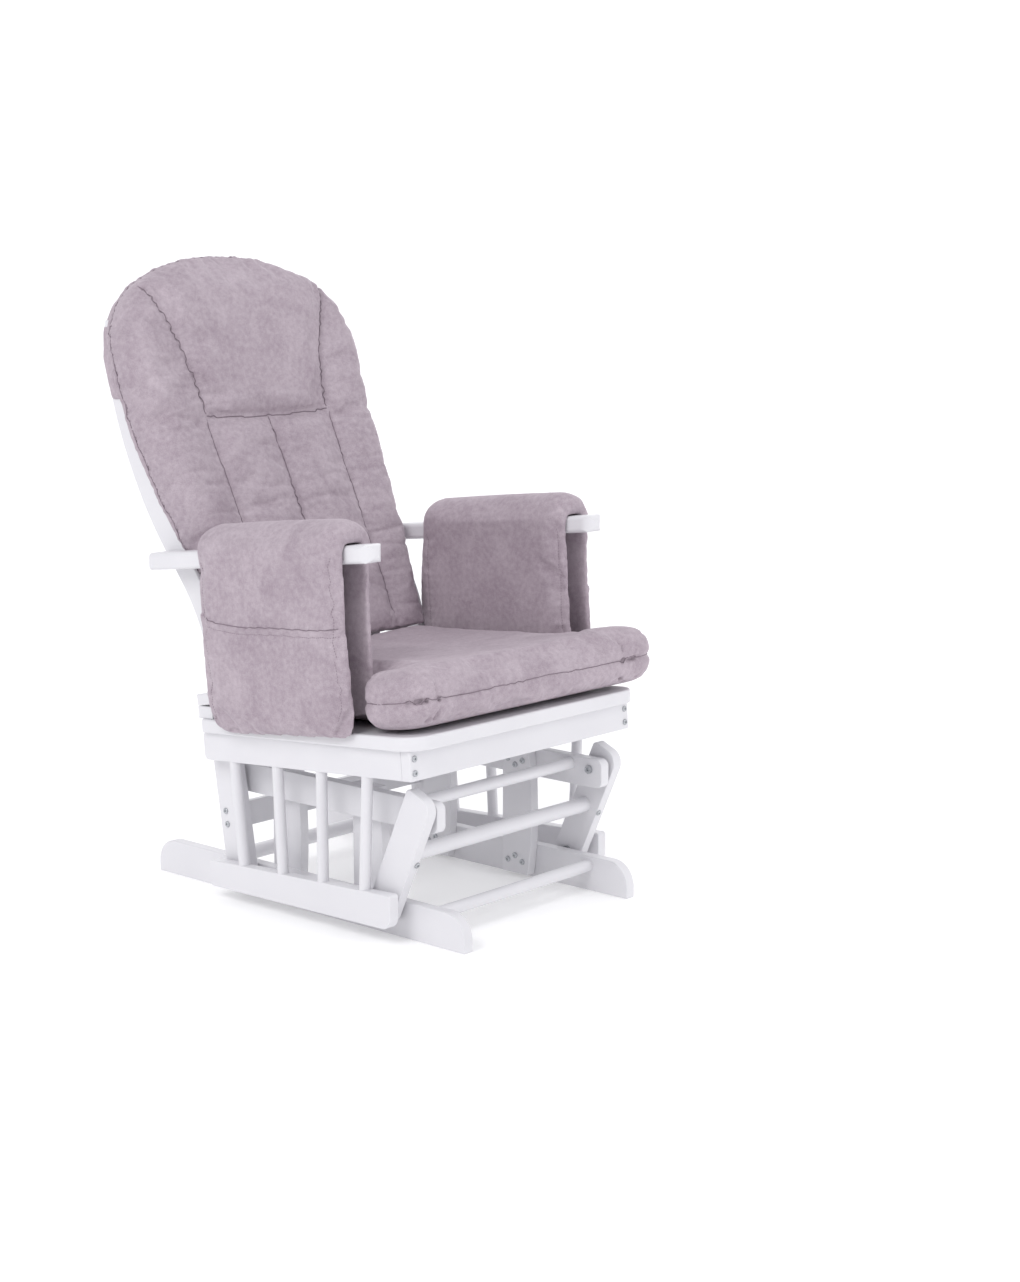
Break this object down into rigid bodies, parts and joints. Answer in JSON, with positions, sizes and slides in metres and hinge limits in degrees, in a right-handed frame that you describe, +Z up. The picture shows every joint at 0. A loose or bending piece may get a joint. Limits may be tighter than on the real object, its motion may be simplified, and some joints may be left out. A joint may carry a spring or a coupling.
{
  "type": "reclining glider chair",
  "caption": "Nursery glider chair: padded seat, tall reclining back and padded arms carried on swing arms between a low open wooden base.",
  "frame": {"origin": "middle of the whole chair's footprint, on the floor under it, at rest", "axes": "+Z up; the chair faces -Y; +X is the sitter's left; the chair is a mirror image of itself across X = 0"},
  "size_m": [0.5976, 0.802, 1.038],
  "materials": {
    "white_wood": "smooth satin white lacquer over solid hardwood",
    "steel": "zinc plated",
    "nylon": "moulded",
    "cushion_fabric": "brushed microfibre over polyester fill"
  },
  "bodies": {
    "base": {"base_upper_dowel": "white_wood", "foot_dowel_front": "white_wood", "foot_dowel_rear": "white_wood", "upper_pivot_fixings": "steel", "upright_screws": "steel", "foot_left": "white_wood", "foot_right": "white_wood", "base_rail_left": "white_wood", "base_rail_right": "white_wood", "upright_front_left": "white_wood", "upright_front_right": "white_wood", "upright_rear_left": "white_wood", "upright_rear_right": "white_wood"},
    "front_arms": {"front_arm_bearings": "steel", "front_arm_dowel": "white_wood", "front_arm_fixings": "steel", "front_arm_left": "white_wood", "front_arm_right": "white_wood"},
    "rear_arms": {"rear_arm_bearings": "steel", "rear_arm_stretcher": "white_wood", "rear_arm_fixings": "steel", "rear_arm_left": "white_wood", "rear_arm_right": "white_wood"},
    "back": {"back_lower_rail": "white_wood", "back_side_left": "white_wood", "back_side_right": "white_wood", "back_top_rail": "white_wood", "back_slats": "white_wood", "recline_lock_pins": "nylon", "hinge_leaves_back": "steel", "back_cushion": "cushion_fabric"},
    "seat": {"arm_bar_left": "white_wood", "arm_bar_right": "white_wood", "arm_pad_left": "cushion_fabric", "arm_pad_right": "cushion_fabric", "arm_post_front_left": "white_wood", "arm_post_front_right": "white_wood", "arm_post_rear_left": "white_wood", "arm_post_rear_right": "white_wood", "front_apron": "white_wood", "front_apron_screws": "steel", "hinge_leaves_seat": "steel", "lower_bushings": "nylon", "lower_rail_left": "white_wood", "lower_rail_right": "white_wood", "rear_apron": "white_wood", "rear_spacer": "white_wood", "seat_cushion": "cushion_fabric", "seat_deck": "white_wood", "side_apron_left": "white_wood", "side_apron_right": "white_wood", "spindle_1_left": "white_wood", "spindle_1_right": "white_wood", "spindle_2_left": "white_wood", "spindle_2_right": "white_wood", "spindle_3_left": "white_wood", "spindle_3_right": "white_wood", "spindle_4_left": "white_wood", "spindle_4_right": "white_wood"}
  },
  "joints": [
    {"name": "rear_arm_swing", "type": "hinge", "parent": "base", "child": "rear_arms", "pos_m": [0, 0.101, 0.205], "axis": [-1, 0, 0], "range_deg": [-5, 17]},
    {"name": "front_arm_swing", "type": "hinge", "parent": "base", "child": "front_arms", "pos_m": [0, -0.32, 0.205], "axis": [-1, 0, 0], "range_deg": [-5.1, 17.3]},
    {"name": "seat_swing", "type": "hinge", "parent": "rear_arms", "child": "seat", "pos_m": [0, 0.0743, 0.04015], "axis": [-1, 0, 0], "range_deg": [-22, 6.5]},
    {"name": "recline", "type": "hinge", "parent": "seat", "child": "back", "pos_m": [0, 0.13441, 0.31796], "axis": [-1, 0, 0], "range_deg": [-5.5, 3]}
  ],
  "couplings": [
    {"joint": "front_arm_swing", "follows": "rear_arm_swing", "ratio": 1.0145},
    {"joint": "seat_swing", "follows": "rear_arm_swing", "ratio": -1.2906}
  ]
}
